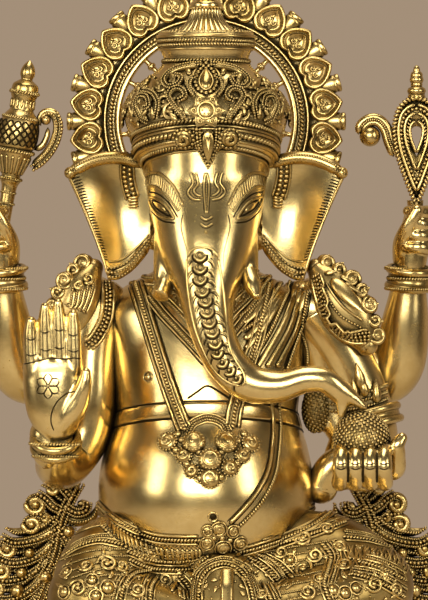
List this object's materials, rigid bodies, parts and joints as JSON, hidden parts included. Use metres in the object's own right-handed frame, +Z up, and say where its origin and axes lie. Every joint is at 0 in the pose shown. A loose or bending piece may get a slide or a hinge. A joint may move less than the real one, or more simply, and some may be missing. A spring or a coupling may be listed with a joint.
{
  "type": "ganesha idol",
  "caption": "Seated elephant-headed idol in cast brass with curled trunk, tall crown and spoked wheel halo on a lotus base, a free-standing devotional figure.",
  "frame": {"origin": "centre of the plinth's underside", "axes": "+Z up, the figure faces -Y, its own left is +X"},
  "size_m": [0.372, 0.272, 0.5675],
  "materials": {
    "polished_brass": "polished cast brass, brown in the recesses",
    "bright_brass": "chased cast brass, bright on the high points and dark in the recesses",
    "antique_brass": "chased cast brass with a dark antique finish rubbed back",
    "steel": "plain zinc-grey steel"
  },
  "bodies": {
    "root": {"plinth": "antique_brass", "lotus_seat": "antique_brass", "base_bolts": "steel", "lap": "antique_brass", "right_foot": "polished_brass", "left_foot": "polished_brass", "apron": "antique_brass", "torso": "polished_brass", "waist_belt": "antique_brass", "belt_flower": "bright_brass", "chest_band": "antique_brass", "right_garland_strap": "bright_brass", "left_garland_strap": "bright_brass", "pendant": "bright_brass", "sacred_thread": "antique_brass", "shawl_pleats": "antique_brass", "neck_collar": "bright_brass", "right_shoulder_plate": "antique_brass", "left_shoulder_plate": "antique_brass", "front_right_arm": "polished_brass", "front_left_arm": "polished_brass", "rear_right_arm": "polished_brass", "rear_left_arm": "polished_brass", "front_right_hand": "polished_brass", "front_left_hand": "polished_brass", "rear_right_hand": "polished_brass", "rear_left_hand": "polished_brass", "sweet": "antique_brass", "mace": "bright_brass", "axe_blade": "bright_brass", "noose": "bright_brass", "front_right_bracelet": "bright_brass", "front_left_bracelet": "bright_brass", "rear_right_bracelet": "bright_brass", "rear_left_bracelet": "bright_brass", "front_left_armlet": "bright_brass", "head": "polished_brass", "right_tusk": "bright_brass", "left_tusk": "bright_brass", "right_ear": "polished_brass", "left_ear": "polished_brass", "diadem": "bright_brass", "crown_dome": "bright_brass", "crown_medallion": "bright_brass", "crown_pot": "bright_brass", "crown_bell": "polished_brass", "crown_finial": "polished_brass", "halo_wheel": "bright_brass", "halo_leaves": "bright_brass", "halo_buds": "bright_brass", "halo_stud": "polished_brass", "halo_nut": "steel", "right_side_scroll": "bright_brass", "left_side_scroll": "bright_brass"}
  },
  "joints": []
}
